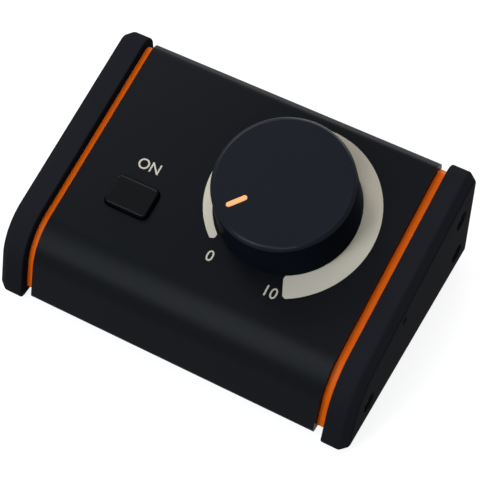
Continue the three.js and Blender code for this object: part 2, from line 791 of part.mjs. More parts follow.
// Latching switch: housing open at the top, a stem with a collar, and the return spring
function monoSwitch() {
  const bottom = boardTop + clearance;
  const top = bottom + switchHeight;
  const cavitySide = stemSide + 2 * collarLip + 2 * clearance;
  const cavityFloor = bottom + switchWall / 2;
  const cavityTop = top - switchWall;
  const housing = cut(
    block(switchSide, switchSide, bottom, top),
    block(cavitySide, cavitySide, cavityFloor, cavityTop),
    block(stemSide + 2 * clearance, stemSide + 2 * clearance, cavityTop - overrun, top + overrun));
  const collarTop = cavityTop - clearance;
  const collarBottom = collarTop - collarThickness;
  const stem = join(
    block(stemSide, stemSide, collarBottom, stemTop()),
    block(stemSide + 2 * collarLip, stemSide + 2 * collarLip, collarBottom, collarTop),
    block(guideSide, guideSide, collarBottom - guideLength, collarBottom));
  const springBottom = cavityFloor + clearance / 2;
  const springTop = collarBottom - clearance / 2;
  return [
    piece('switch_housing', housing, 'blackPlastic'),
    piece('switch_stem', stem, 'buttonPlastic'),
    piece('switch_spring', coil(springBottom, springTop), 'plainSteel'),
  ];
}

// Coil spring: one wire wound as a helix between two heights
class Helix extends THREE.Curve {
  constructor(radius, turns, fromZ, toZ) {
    super();
    Object.assign(this, { radius, turns, fromZ, toZ });
  }

  getPoint(t, target = new THREE.Vector3()) {
    const angle = t * this.turns * 2 * Math.PI;
    return target.set(
      this.radius * Math.cos(angle), this.radius * Math.sin(angle),
      THREE.MathUtils.lerp(this.fromZ, this.toZ, t));
  }
}

function coil(fromZ, toZ) {
  const wire = springWire / 2;
  const section = Array.from({ length: springSides }, (unused, k) =>
    new THREE.Vector2(wire, 0).rotateAround(new THREE.Vector2(), 2 * Math.PI * k / springSides));
  return new THREE.ExtrudeGeometry(new THREE.Shape(section), {
    steps: springTurns * springStepsPerTurn,
    extrudePath: new Helix(springRadius, springTurns, fromZ + wire, toZ - wire),
  });
}

function monoControl() {
  const control = new THREE.Group();
  control.position.set(buttonAcross, buttonUpSlope, 0);
  control.add(monoButton(), ...monoSwitch());
  return control;
}

// Control board, parallel to the panel, under the potentiometer and the switch
function controlBoard() {
  const corners = [
    [controlBoardLeft, controlBoardFront], [controlBoardLeft, controlBoardRear],
    [controlBoardRight, controlBoardRear], [controlBoardRight, controlBoardFront],
  ].map(([x, y]) => new THREE.Vector2(x, y));
  const holes = controlStuds.map(([across, upSlope]) => rod(
    threadDiameter + 2 * clearance, boardBottom - overrun, boardTop + overrun)
    .translate(across, upSlope, 0));
  const header = block(
    headerWidth, headerLength, boardBottom - clearance - headerHeight, boardBottom - clearance,
    headerAcross, upperHeaderUpSlope);
  return [
    piece('control_board', cut(prismUp(corners, boardBottom, boardTop), ...holes), 'boardGreen'),
    piece('ribbon_plug_upper', header, 'blackPlastic'),
  ];
}

function controlScrews() {
  const screw = panScrew(boardScrewLength).rotateX(Math.PI);
  const places = controlStuds.map(([across, upSlope]) =>
    new THREE.Vector3(across, upSlope, boardBottom - clearance));
  return pieces('control_board_screw', screw, places, 'plainSteel');
}

// Jack board on its standoffs, above the floor
function jackBoard() {
  const rear = jackFace - clearance;
  const board = block(
    2 * jackBoardEnd, rear - jackBoardFront, jackBoardBottom, jackBoardTop,
    0, (rear + jackBoardFront) / 2);
  const holes = standoffPlaces.map((place) => rod(
    threadDiameter + 2 * clearance, jackBoardBottom - overrun, jackBoardTop + overrun)
    .translate(place.x, place.y, 0));
  const spacer = ring(
    standoffDiameter, threadDiameter + 2 * clearance, traySheet, traySheet + standoffHeight);
  const screw = panScrew(boardScrewLength).translate(0, 0, jackBoardTop + clearance);
  const header = block(
    headerWidth, headerLength, jackBoardTop + clearance, jackBoardTop + clearance + headerHeight,
    headerAcross, lowerHeaderBack);
  return [
    piece('jack_board', cut(board, ...holes), 'boardGreen'),
    ...pieces('board_standoff', spacer, standoffPlaces, 'brass'),
    ...pieces('jack_board_screw', screw, standoffPlaces, 'plainSteel'),
    piece('ribbon_plug_lower', header, 'blackPlastic'),
  ];
}

// Ribbon cable, from the plug under the control board forward and down to the lower plug
function ribbonCable() {
  const upper = new THREE.Vector3(
    0, upperHeaderUpSlope, boardBottom - clearance - headerHeight / 2).applyMatrix4(onPanel().matrix);
  const lowerTop = jackBoardTop + clearance + headerHeight / 2;
  const start = new THREE.Vector2(upper.y - headerLength / 2 - 2 * clearance, upper.z);
  const end = new THREE.Vector2(lowerHeaderBack - headerLength / 2 - clearance, lowerTop);
  const curve = new THREE.CubicBezierCurve(
    start, new THREE.Vector2(start.x - ribbonLoop, start.y),
    new THREE.Vector2(end.x - ribbonLoop, end.y), end);
  const middle = curve.getPoints(ribbonSteps);
  const side = (sign) => middle.map((point, k) => {
    const along = curve.getTangent(k / ribbonSteps);
    const normal = new THREE.Vector2(-along.y, along.x);
    return point.clone().addScaledVector(normal, sign * ribbonThickness / 2);
  });
  const outline = [...side(1), ...side(-1).reverse()];
  const strip = prismAcross(outline, headerAcross - ribbonWidth / 2, headerAcross + ribbonWidth / 2);
  return piece('ribbon_cable', strip, 'ribbonGrey');
}

// Socket for a large jack plug: housing with a threaded nose, held by a nut
function jackSockets() {
  const bottom = jackBoardTop + clearance - jackAxis;
  const housing = block(jackWidth, jackDepth, bottom, bottom + jackHeight, 0, -jackDepth / 2);
  const nose = rodAlongY(jackNoseDiameter, -overrun, jackNoseReach);
  const bore = rodAlongY(jackBore, jackBackWall - jackDepth, jackNoseReach + overrun);
  const socket = cut(join(housing, nose), bore);
  return Object.entries(jackPlaces).map(([name, across]) => {
    const jack = piece(`jack_${name}`, socket.clone(), 'blackPlastic');
    jack.position.set(across, jackFace, jackAxis);
    return jack;
  });
}

function jackNuts() {
  const nut = hexNut(
    jackNutAcross, jackNoseDiameter + 2 * clearance, clearance, clearance + jackNutThickness)
    .rotateX(-Math.PI / 2);
  return Object.entries(jackPlaces).map(([name, across]) => {
    const mesh = piece(`jack_nut_${name}`, nut.clone(), 'plainSteel');
    mesh.position.set(across, rearFace, jackAxis);
    return mesh;
  });
}

// Socket for a small jack plug, with a round nut
function miniJackAxis() {
  return jackBoardTop + clearance + miniJackHeight / 2;
}

function miniJack() {
  const bottom = -miniJackHeight / 2;
  const housing = block(
    miniJackWidth, miniJackDepth, bottom, bottom + miniJackHeight, 0, -miniJackDepth / 2);
  const nose = rodAlongY(miniJackNoseDiameter, -overrun, miniJackNoseReach);
  const bore = rodAlongY(miniJackBore, jackBackWall - miniJackDepth, miniJackNoseReach + overrun);
  const socket = piece('mini_jack', cut(join(housing, nose), bore), 'blackPlastic');
  const nutStart = sheet + 2 * clearance;
  const nut = piece('mini_jack_nut', ring(
    miniJackNutDiameter, miniJackNoseDiameter + 2 * clearance,
    nutStart, nutStart + miniJackNutThickness).rotateX(-Math.PI / 2), 'plainSteel');
  const jack = new THREE.Group();
  jack.position.set(miniJackAcross, jackFace, miniJackAxis());
  jack.add(socket, nut);
  return jack;
}

// Whole object, moved so that the table and the middle of its box are at the origin
function monitorController() {
  const controls = onPanel(volumeControl(), monoControl(), ...controlBoard(), ...controlScrews());
  const object = new THREE.Group();
  object.add(
    topShell(), baseTray(), ...trimPlates(), ...cheeks(), ...cheekScrews(), ...baseScrews(),
    ...feet(), controls, ...jackBoard(), ribbonCable(), ...jackSockets(), ...jackNuts(),
    miniJack());
  const middle = new THREE.Box3().setFromObject(object).getCenter(new THREE.Vector3());
  object.position.set(0, -middle.y, footHeight);
  const whole = new THREE.Group();
  whole.add(object);
  return whole;
}

export default monitorController();
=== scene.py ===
# Looks of the desktop studio monitor controller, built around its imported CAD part.
import json
import math

import bmesh
import bpy
import numpy as np
from mathutils import Matrix, Vector
from mathutils.geometry import delaunay_2d_cdt


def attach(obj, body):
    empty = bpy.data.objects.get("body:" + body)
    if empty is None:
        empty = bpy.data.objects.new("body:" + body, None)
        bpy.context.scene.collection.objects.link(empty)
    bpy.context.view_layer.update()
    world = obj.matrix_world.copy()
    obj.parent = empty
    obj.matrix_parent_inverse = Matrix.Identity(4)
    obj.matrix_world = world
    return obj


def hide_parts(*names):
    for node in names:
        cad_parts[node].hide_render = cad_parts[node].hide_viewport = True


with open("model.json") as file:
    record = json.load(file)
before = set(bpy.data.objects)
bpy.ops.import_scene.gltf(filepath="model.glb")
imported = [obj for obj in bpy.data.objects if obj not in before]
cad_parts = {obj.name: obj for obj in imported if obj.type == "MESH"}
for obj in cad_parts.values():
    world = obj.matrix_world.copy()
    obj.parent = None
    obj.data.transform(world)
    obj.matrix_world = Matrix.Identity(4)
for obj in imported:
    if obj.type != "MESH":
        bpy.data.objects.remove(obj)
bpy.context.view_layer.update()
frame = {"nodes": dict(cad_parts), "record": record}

# Camera: stands to the right of the front and well above it, as the photograph was taken.
# Its place was worked out from the object's edges in the photograph.
camera = bpy.data.objects.new("camera", bpy.data.cameras.new("camera"))
camera.data.lens = 125.4
camera.data.sensor_width = 36
camera.data.clip_start = 0.01
camera.data.clip_end = 20
camera.matrix_world = Matrix((
    (0.87246, -0.39328, 0.29008, 0.15881),
    (0.48844, 0.72051, -0.49223, -0.26676),
    (-0.01543, 0.57114, 0.82071, 0.46237),
    (0, 0, 0, 1),
))
bpy.context.scene.collection.objects.link(camera)
bpy.context.scene.camera = camera


# Floor and light: a matt table board and a white surround, lit by five soft boxes. Board and
# surround are white to the rays that see them, and the board keeps the object's shadow.
TABLE_REACH, TABLE_GLOW = 6, 0.82
SURROUND_FILL, SURROUND_SEEN = 0.22, 1.0


def linear(hex_colour):
    """sRGB hex to linear RGBA: each channel is divided by 12.92 where it is dark, and else
    follows the 2.4 power curve."""
    srgb = np.array([int(hex_colour[i:i + 2], 16) for i in (1, 3, 5)]) / 255
    curve = np.where(srgb <= 0.04045, srgb / 12.92, ((srgb + 0.055) / 1.055) ** 2.4)
    return (*curve, 1.0)


def add(tree, kind, settings=None, **links):
    """Adds a node with its settings. A link is given by the input's name, or its number after
    an underscore, and holds either a plain value or another node's output."""
    node = tree.nodes.new("ShaderNode" + kind)
    for name, value in (settings or {}).items():
        setattr(node, name, value)
    for name, value in links.items():
        socket = node.inputs[int(name[1:]) if name[0] == "_" else name.replace("_", " ")]
        if isinstance(value, bpy.types.NodeSocket):
            tree.links.new(value, socket)
        else:
            socket.default_value = value
    return node


def new_material(name):
    """Material with an empty node tree, and that tree."""
    material = bpy.data.materials.new(name)
    material.use_nodes = True
    material.node_tree.nodes.clear()
    return material, material.node_tree


def seen_rays(tree):
    """One for camera, glossy and transmission rays and zero for others: the largest of the three
    tests."""
    path = add(tree, "LightPath")
    seen = add(tree, "Math", {"operation": "MAXIMUM"},
               _0=path.outputs["Is Camera Ray"], _1=path.outputs["Is Glossy Ray"])
    seen = add(tree, "Math", {"operation": "MAXIMUM"},
               _0=seen.outputs[0], _1=path.outputs["Is Transmission Ray"])
    return seen.outputs[0]


# Matt laminate. It gives a flat grey without shine, and its glow brings that to white.
table, tree = new_material("matt white table board")
board = add(tree, "BsdfDiffuse", Color=linear("#7C7C7C"))
glow = add(tree, "Math", {"operation": "MULTIPLY"}, _0=seen_rays(tree), _1=TABLE_GLOW)
glow = add(tree, "Emission", Color=linear("#FFFFFF"), Strength=glow.outputs[0])
both = add(tree, "AddShader", _0=board.outputs[0], _1=glow.outputs[0])
add(tree, "OutputMaterial", Surface=both.outputs[0])

floor_mesh = bpy.data.meshes.new("floor")
floor_mesh.from_pydata([(x * TABLE_REACH, y * TABLE_REACH, 0)
                        for x, y in ((-1, -1), (1, -1), (1, 1), (-1, 1))], [], [(0, 1, 2, 3)])
floor = bpy.data.objects.new("floor", floor_mesh)
floor_mesh.materials.append(table)
bpy.context.scene.collection.objects.link(floor)

# Plain white surround. It gives metal and the rounded edges something white to mirror, and the
# surfaces a weak even fill.
world = bpy.data.worlds.new("white surround")
world.use_nodes = True
bpy.context.scene.world = world
tree = world.node_tree
tree.nodes.clear()
strength = add(tree, "MapRange", Value=seen_rays(tree),
               To_Min=SURROUND_FILL, To_Max=SURROUND_SEEN)
sky = add(tree, "Background", Color=linear("#FFFFFF"), Strength=strength.outputs[0])
add(tree, "OutputWorld", Surface=sky.outputs[0])

# Each soft box has its place, width and height in metres, then its watts and its tint.
soft_boxes = {
    "soft_box_left": ((-0.85, 0.45, 1.05), 0.45, 0.45, 10, "#FFFFFF"),
    "soft_box_front": ((-0.36, -0.90, 0.90), 0.4, 1.1, 15, "#EEF5FF"),
    "soft_box_right": ((0.3, -0.85, 0.75), 0.3, 0.3, 4.5, "#EEF5FF"),
    "soft_box_back": ((-0.15, 1.2, 0.6), 1.0, 0.8, 17, "#FFFFFF"),
    "soft_box_top": ((0.15, 0.0, 1.35), 0.6, 0.6, 2, "#FFFFFF"),
}
for name, (place, width, height, watts, tint) in soft_boxes.items():
    lamp = bpy.data.lights.new(name, "AREA")
    lamp.shape = "RECTANGLE"
    lamp.size, lamp.size_y = width, height
    lamp.energy = watts
    lamp.color = linear(tint)[:3]
    holder = bpy.data.objects.new(name, lamp)
    holder.location = place
    holder.rotation_euler = (-Vector(place)).to_track_quat("-Z", "Y").to_euler()
    bpy.context.scene.collection.objects.link(holder)


# Case shell: one sheet of 1.5 mm steel, punched, bent to the wedge and powder coated black.
# It drops over the base tray, and screws from below hold it.
MM = 0.001
CASE_WIDTH = 104.0
SHEET = 1.5
SLOPE = math.radians(13.4)
FRONT_LEAN = math.radians(16.8)
FRONT_HEIGHT = 23.25
TOP_LENGTH = 81.5
FRONT_BEND = 18.0
REAR_BEND = 4.0
FOOT_BEND = 1.6
HEM = 9.0
case_bends = (FOOT_BEND, FRONT_BEND, REAR_BEND, FOOT_BEND)
case_steps = (6, 28, 10, 6)
case_ends = (-CASE_WIDTH / 2, CASE_WIDTH / 2)
case_shift = np.array([-37.8836, 3.5])
case_corners = np.array([
    (-FRONT_HEIGHT * math.tan(FRONT_LEAN), 0.0),
    (0.0, FRONT_HEIGHT),
    (TOP_LENGTH * math.cos(SLOPE), FRONT_HEIGHT + TOP_LENGTH * math.sin(SLOPE)),
    (TOP_LENGTH * math.cos(SLOPE), 0.0),
])
panel_frame = Matrix.Translation((0, case_shift[0] * MM, (FRONT_HEIGHT + case_shift[1]) * MM))
panel_frame @= Matrix.Rotation(SLOPE, 4, "X")
KNOB_PLACE = (16.0, 45.75)
BUTTON_PLACE = (-31.1, 27.2)
BUTTON = (15.4, 10.5, 1.8)
BUTTON_GAP = 0.55
JACK_ACROSS = (-36.816, -17.056, 5.2, 24.96)
JACK_UP = 13.4
MINI_JACK_PLACE = (41.08, 10.4)
POT_HOLE, JACK_HOLE, MINI_JACK_HOLE = 4.3, 6.0, 3.3
# Points nearer to each other than this, in metres, are one, and edges sharper than this show.
MERGED = 2e-6
CREASE = math.radians(35)


def offset_corners(corners, distances):
    """Side-view corners moved out edge by edge: each edge line is shifted along its normal, and
    neighbouring lines are crossed again."""
    along = np.roll(corners, -1, 0) - corners
    along /= np.linalg.norm(along, axis=1, keepdims=True)
    normal = np.stack([-along[:, 1], along[:, 0]], 1)
    reach = (normal * corners).sum(1) + np.asarray(distances, float)
    pairs = np.stack([np.roll(normal, 1, 0), normal], 1)
    return np.linalg.solve(pairs, np.stack([np.roll(reach, 1), reach], 1)[..., None])[..., 0]


def arc_at(before, corner, after, radius, steps):
    """Points of the arc that rounds a corner: its centre lies on the corner's bisector, at the
    radius over the sine of the half angle, and the points turn evenly about it."""
    to_before = (before - corner) / np.linalg.norm(before - corner)
    to_after = (after - corner) / np.linalg.norm(after - corner)
    half = math.acos(np.clip(to_before @ to_after, -1, 1)) / 2
    middle = (to_before + to_after) / np.linalg.norm(to_before + to_after)
    centre = corner + middle * radius / math.sin(half)
    start = corner + to_before * radius / math.tan(half) - centre
    sense = np.sign(start[0] * (corner - centre)[1] - start[1] * (corner - centre)[0])
    turn = sense * np.linspace(0, math.pi - 2 * half, steps + 1)
    return centre + np.stack([start[0] * np.cos(turn) - start[1] * np.sin(turn),
                              start[0] * np.sin(turn) + start[1] * np.cos(turn)], 1)


def rounded(corners, radii, steps):
    """Closed outline with every corner rounded by its own radius."""
    count = len(corners)
    return np.concatenate([
        arc_at(corners[i - 1], corners[i], corners[(i + 1) % count], radii[i], steps[i])
        for i in range(count)])


def across(outline, x):
    """Side-view outline in millimetres, set at one X, as points in metres."""
    placed = (np.asarray(outline) + case_shift) * MM
    return np.column_stack([np.full(len(placed), x * MM), placed])


def loft(loops, closed=True, caps=(False, False)):
    """Surface over a stack of loops with equal numbers of points: point j of loop i joins point
    j of loop i + 1, and a cap is one flat face on the first or last loop."""
    loops = np.asarray(loops)
    stack, count = loops.shape[:2]
    i, j = np.meshgrid(np.arange(stack - 1), np.arange(count if closed else count - 1),
                       indexing="ij")
    following = (j + 1) % count
    quads = np.stack([i * count + j, i * count + following,
                      (i + 1) * count + following, (i + 1) * count + j], -1).reshape(-1, 4)
    faces = quads.tolist()
    if caps[0]:
        faces.append(list(range(count))[::-1])
    if caps[1]:
        faces.append(list(range((stack - 1) * count, stack * count)))
    return loops.reshape(-1, 3), faces


def pierced(outline, holes, place):
    """Flat face with holes: the outline and the holes, each run anticlockwise, are triangulated
    together, only the triangles in no hole are kept, and place carries the flat points into
    space. A loop's sense is the sign of its area, by the sum of its edges' cross products."""
    inside_only, same_point = 1, 1e-7
    loops = [np.asarray(loop) for loop in (outline, *holes)]
    ends = [np.roll(loop, -1, 0) for loop in loops]
    loops = [loop if (loop[:, 0] * end[:, 1] - loop[:, 1] * end[:, 0]).sum() > 0 else loop[::-1]
             for loop, end in zip(loops, ends)]
    points = [Vector(p) for loop in loops for p in loop]
    starts = np.cumsum([0] + [len(loop) for loop in loops])
    rings = [list(range(starts[k], starts[k + 1])) for k in range(len(loops))]
    flat, _, faces, _, _, owners = delaunay_2d_cdt(points, [], rings, inside_only, same_point)
    kept = [list(face) for face, owner in zip(faces, owners) if list(owner) == [0]]
    return place(np.array([(p.x, p.y) for p in flat])), kept


def shade_by_area(mesh):
    """Corner normals: at each vertex, the normals of the faces that meet below the crease angle
    are averaged with the area of their whole flat region as weight, so flats stay flat and only
    the bends between them are shaded round. Faces are one flat region where their normals agree
    to a thousandth and their planes to 0.05 mm."""
    normal_grid, plane_grid = 1e3, 2e4

    def read(items, name, width, kind=np.float64):
        values = np.empty(len(items) * width, kind)
        items.foreach_get(name, values)
        return values.reshape(-1, width) if width > 1 else values

    normal = read(mesh.polygons, "normal", 3)
    area = read(mesh.polygons, "area", 1)
    centre = read(mesh.polygons, "center", 3)
    sides = read(mesh.polygons, "loop_total", 1, np.int32)
    plane = np.column_stack([np.round(normal * normal_grid),
                             np.round((normal * centre).sum(1) * plane_grid)])
    _, region = np.unique(plane.astype(np.int64), axis=0, return_inverse=True)
    weight = np.bincount(region.ravel(), area)[region.ravel()]
    corner_face = np.repeat(np.arange(len(sides)), sides)
    vertex = read(mesh.loops, "vertex_index", 1, np.int32)
    order = np.argsort(vertex, kind="stable")
    vertex = vertex[order]
    face = corner_face[order]
    total = normal[face] * weight[face, None]
    for step in range(1, int(np.bincount(vertex).max())):
        meets = vertex[step:] == vertex[:-step]
        close = (normal[face[step:]] * normal[face[:-step]]).sum(1) > math.cos(CREASE)
        share = (meets & close)[:, None]
        total[step:] += share * normal[face[:-step]] * weight[face[:-step], None]
        total[:-step] += share * normal[face[step:]] * weight[face[step:], None]
    corners = np.empty_like(total)
    corners[order] = total / np.linalg.norm(total, axis=1, keepdims=True)
    mesh.shade_smooth()
    mesh.normals_split_custom_set(corners)


def piece(name, parts, body, material, replaced=()):
    """One object from several surfaces: their points are put in one list, doubles are merged and
    faces are turned outwards. It rides its body and takes the place of the replaced nodes."""
    offset, points, faces = 0, [], []
    for part_points, part_faces in parts:
        points.append(np.asarray(part_points))
        faces += [[index + offset for index in face] for face in part_faces]
        offset += len(part_points)
    mesh = bpy.data.meshes.new(name)
    mesh.from_pydata(np.concatenate(points), [], faces)
    shape = bmesh.new()
    shape.from_mesh(mesh)
    bmesh.ops.remove_doubles(shape, verts=shape.verts, dist=MERGED)
    bmesh.ops.recalc_face_normals(shape, faces=shape.faces)
    shape.to_mesh(mesh)
    shape.free()
    shade_by_area(mesh)
    mesh.materials.append(material)
    made = bpy.data.objects.new(name, mesh)
    bpy.context.scene.collection.objects.link(made)
    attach(made, body)
    if replaced:
        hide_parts(*replaced)


def circle(centre, radius, count=48):
    """Points at equal angles and one distance from the centre."""
    turn = np.linspace(0, 2 * math.pi, count, endpoint=False)
    return np.asarray(centre) + radius * np.column_stack([np.cos(turn), np.sin(turn)])


def rounded_rectangle(centre, width, length, corner):
    """Rectangle about the centre, with its four corners rounded alike in six steps."""
    x, y = width / 2, length / 2
    corners = np.array([(-x, -y), (-x, y), (x, y), (x, -y)])
    return np.asarray(centre) + rounded(corners, [corner] * 4, [6] * 4)


def carried(flat, height, plane):
    """Points on a plane, in millimetres, each at its height above it, as points in space in
    metres: the plane's matrix is applied to the whole list."""
    flat = np.asarray(flat, float)
    heights = np.broadcast_to(height, len(flat))
    spots = np.column_stack([flat * MM, heights * MM, np.ones(len(flat))])
    return (spots @ np.array(plane).T)[:, :3]


def on_panel(flat, height):
    """Points across and up the sloping panel, in millimetres, as points in space in metres."""
    return carried(flat, height, panel_frame)


def powder_coat(name, colour, pale, roughness):
    """Coat with cloudiness about 29 mm wide and orange peel about 0.9 mm wide, each one over its
    width in metres as the scale of its noise."""
    material, tree = new_material(name)
    spot = add(tree, "TexCoord").outputs["Object"]
    cloud = add(tree, "TexNoise", Vector=spot, Scale=1 / (28.57 * MM), Detail=3)
    tint = add(tree, "Mix", {"data_type": "RGBA"}, Factor=cloud.outputs["Fac"],
               _6=linear(colour), _7=linear(pale))
    peel = add(tree, "TexNoise", Vector=spot, Scale=1 / (0.909 * MM), Detail=2)
    rough = add(tree, "MapRange", Value=peel.outputs["Fac"],
                To_Min=roughness - 0.05, To_Max=roughness + 0.07)
    bump = add(tree, "Bump", Strength=0.12, Distance=0.00004, Height=peel.outputs["Fac"])
    coat = add(tree, "BsdfPrincipled", Base_Color=tint.outputs[2], IOR=1.5,
               Roughness=rough.outputs[0], Normal=bump.outputs[0], Specular_IOR_Level=0.035)
    add(tree, "OutputMaterial", Surface=coat.outputs[0])
    return material


# Powder coat on steel. It gives a satin black with a fine, soft orange peel that only shows
# in the highlights, and a faint cloudiness.
black_coat = powder_coat("powder coated steel, satin black", "#090B0E", "#0C0E11", 0.33)


def shell_faces(inset):
    """The bent sheet's outer or inner skin as flat strips and bends between the case's ends. The
    strips with holes are filled round them, and each bend is an arc carried across."""
    corners = offset_corners(case_corners, [-inset] * 4)
    arcs = [arc_at(corners[i - 1], corners[i], corners[(i + 1) % 4], bend - inset, steps)
            for i, (bend, steps) in enumerate(zip(case_bends, case_steps))]
    bends = [loft([across(arc, x) for x in case_ends], closed=False) for arc in arcs]
    hems = [np.array([(corners[0][0] + HEM, corners[0][1]), arcs[0][0]]),
            np.array([arcs[3][-1], (corners[3][0] - HEM, corners[3][1])])]
    strips = [np.array([arcs[0][-1], arcs[1][0]]), *hems]
    plain = [loft([across(strip, x) for x in case_ends], closed=False) for strip in strips]
    origin, along = np.array([0.0, FRONT_HEIGHT]), np.array([math.cos(SLOPE), math.sin(SLOPE)])
    low, high = (arcs[1][-1] - origin) @ along, (arcs[2][0] - origin) @ along
    left, right = case_ends
    top_outline = [(left, low), (right, low), (right, high), (left, high)]
    window = rounded_rectangle(BUTTON_PLACE, BUTTON[0] + 2 * BUTTON_GAP,
                               BUTTON[1] + 2 * BUTTON_GAP, BUTTON[2] + BUTTON_GAP)
    top_holes = [circle(KNOB_PLACE, POT_HOLE), window]
    foot, crown = arcs[3][0][1], arcs[2][-1][1]
    rear_outline = [(left, foot), (right, foot), (right, crown), (left, crown)]
    rear_holes = [circle((x, JACK_UP), JACK_HOLE) for x in JACK_ACROSS]
    rear_holes.append(circle(MINI_JACK_PLACE, MINI_JACK_HOLE))

    def on_top(flat):
        return on_panel(flat, -inset)

    def on_rear(flat):
        return np.column_stack([flat[:, 0], np.full(len(flat), corners[2][0] + case_shift[0]),
                                flat[:, 1] + case_shift[1]]) * MM

    sloped = pierced(top_outline, top_holes, on_top)
    upright = pierced(rear_outline, rear_holes, on_rear)
    rims = [on_top(hole) for hole in top_holes] + [on_rear(hole) for hole in rear_holes]
    path = np.concatenate([hems[0][:1], *arcs, hems[1][1:]])
    return [*bends, *plain, sloped, upright], rims, path


outer_skin, outer_rims, outer_path = shell_faces(0.0)
inner_skin, inner_rims, inner_path = shell_faces(SHEET)
edges = [loft([outer, inner]) for outer, inner in zip(outer_rims, inner_rims)]
edges += [loft([across(outer_path, x), across(inner_path, x)], closed=False)
          for x in case_ends]
edges += [loft([across([outer_path[end], inner_path[end]], x) for x in case_ends], closed=False)
          for end in (0, -1)]
piece("case_shell", outer_skin + inner_skin + edges, "case", black_coat,
      ["top_shell"])


# Trim plates: sheets of satin orange plastic, 3.2 mm thick, clamped between case and cheeks.
# Their edges stay below the case's surface, so that they show as a line in a groove.
TRIM, TRIM_EASE, LEAST_TRIM_BEND = 3.2, 0.12, 0.3
trim_insets = np.array([-2.3, -2.8, -0.4, -1.0])
trim_bends = np.array([1.0, 17.7, 3.0, 1.0])
trim_steps = [4, 28, 8, 4]


def eased_stations(start, end, ease):
    """Places along X with the inset of the outline at each: both edges are rounded by a quarter
    circle of the easing's radius, in four steps."""
    turn = np.linspace(0, math.pi / 2, 5)
    rise, inset = ease * (1 - np.cos(turn)), ease * (1 - np.sin(turn))
    return np.concatenate([np.column_stack([start + rise, inset]),
                           np.column_stack([end - rise, inset])[::-1]])


def satin_plastic(name, colour, pale, roughness, grain_mm, depth_mm, shine=0.035):
    """Plastic or lacquer with cloudiness 20 mm wide and a grain of its own width, each one over
    its width in metres as the scale of its noise. Shine is far below plain plastic's, because
    the white surround, which every glossy ray sees, would else turn the blacks grey."""
    material, tree = new_material(name)
    spot = add(tree, "TexCoord").outputs["Object"]
    grain = add(tree, "TexNoise", Vector=spot, Scale=1 / (grain_mm * MM), Detail=2)
    cloud = add(tree, "TexNoise", Vector=spot, Scale=1 / (20 * MM), Detail=2)
    tint = add(tree, "Mix", {"data_type": "RGBA"}, Factor=cloud.outputs["Fac"],
               _6=linear(colour), _7=linear(pale))
    rough = add(tree, "MapRange", Value=grain.outputs["Fac"],
                To_Min=roughness - 0.06, To_Max=roughness + 0.08)
    bump = add(tree, "Bump", Strength=0.3, Distance=depth_mm * MM, Height=grain.outputs["Fac"])
    skin = add(tree, "BsdfPrincipled", Base_Color=tint.outputs[2], IOR=1.49,
               Roughness=rough.outputs[0], Normal=bump.outputs[0], Specular_IOR_Level=shine)
    add(tree, "OutputMaterial", Surface=skin.outputs[0])
    return material


# Polycarbonate sheet, dyed through, with a rolled surface. It gives a saturated, slightly
# uneven orange with a soft shine.
orange = satin_plastic("dyed polycarbonate sheet, satin orange", "#BE4C04", "#C65606", 0.42,
                       0.5, 0.02, shine=0.06)
stations = eased_stations(CASE_WIDTH / 2, CASE_WIDTH / 2 + TRIM, TRIM_EASE)
for side, sign in (("right", 1), ("left", -1)):
    loops = [across(rounded(offset_corners(case_corners, trim_insets - inset),
                            np.maximum(trim_bends - inset, LEAST_TRIM_BEND), trim_steps), sign * x)
             for x, inset in stations]
    piece("trim_plate_" + side, [loft(loops, caps=(True, True))], "case",
          orange, ["trim_" + side])


# End cheeks: moulded black ABS, 9 mm thick, with a wide chamfer round the outer face.
# Counterbored screws hold each one to the tray through the trim plate.
CHEEK = 9.0
CHAMFER_DEPTH, CHAMFER_INSET = 2.8, 2.1
INNER_EDGE, LEAST_CHEEK_BEND = 0.5, 0.5
EASE_BEFORE, EASE_AFTER, EASE_RISE = 0.5, 0.4, 0.3
cheek_start = CASE_WIDTH / 2 + TRIM
cheek_end = cheek_start + CHEEK
cheek_proud = np.array([1.15, 0.8, 1.5, 1.3])
cheek_bends = np.array([2.0, 20.4, 5.1, 2.0])
cheek_steps = [6, 32, 10, 6]
rear_wall = case_corners[2][0]
cheek_fixings = [(rear_wall - 9.2, 27.0), (rear_wall - 9.2, 8.8), (6.9, 8.9)]
PEG_HOLE = (29.7, 24.3)
WELL_RADIUS, WELL_DEPTH, PEG_RADIUS, PEG_DEPTH = 3.3, 3.4, 1.2, 1.6
WELL_MOUTH = 0.2


def cheek_outline(inset):
    """The case's side view, pushed out to where the cheek stands proud of it, less the inset."""
    return rounded(offset_corners(case_corners, cheek_proud - inset),
                   np.maximum(cheek_bends - inset, LEAST_CHEEK_BEND), cheek_steps)


def cheek_stations():
    """Places along X with the outline's inset: a quarter round on the inner edge, the flat side,
    and the chamfer, whose start and end are eased by parabolas."""
    turn = np.linspace(0, math.pi / 2, 5)
    inner = np.column_stack([cheek_start + INNER_EDGE * (1 - np.cos(turn)),
                             INNER_EDGE * (1 - np.sin(turn))])
    side_end = cheek_end - CHAMFER_DEPTH
    ease = np.linspace(0, 1, 6)
    soft_start = np.column_stack([side_end - EASE_BEFORE + (EASE_BEFORE + EASE_AFTER) * ease,
                                  EASE_RISE * ease ** 2])
    soft_end = np.column_stack([cheek_end - EASE_AFTER * (1 - ease) ** 2,
                                CHAMFER_INSET - EASE_RISE + (EASE_RISE + EASE_AFTER) * ease])
    return np.concatenate([inner, soft_start, soft_end])


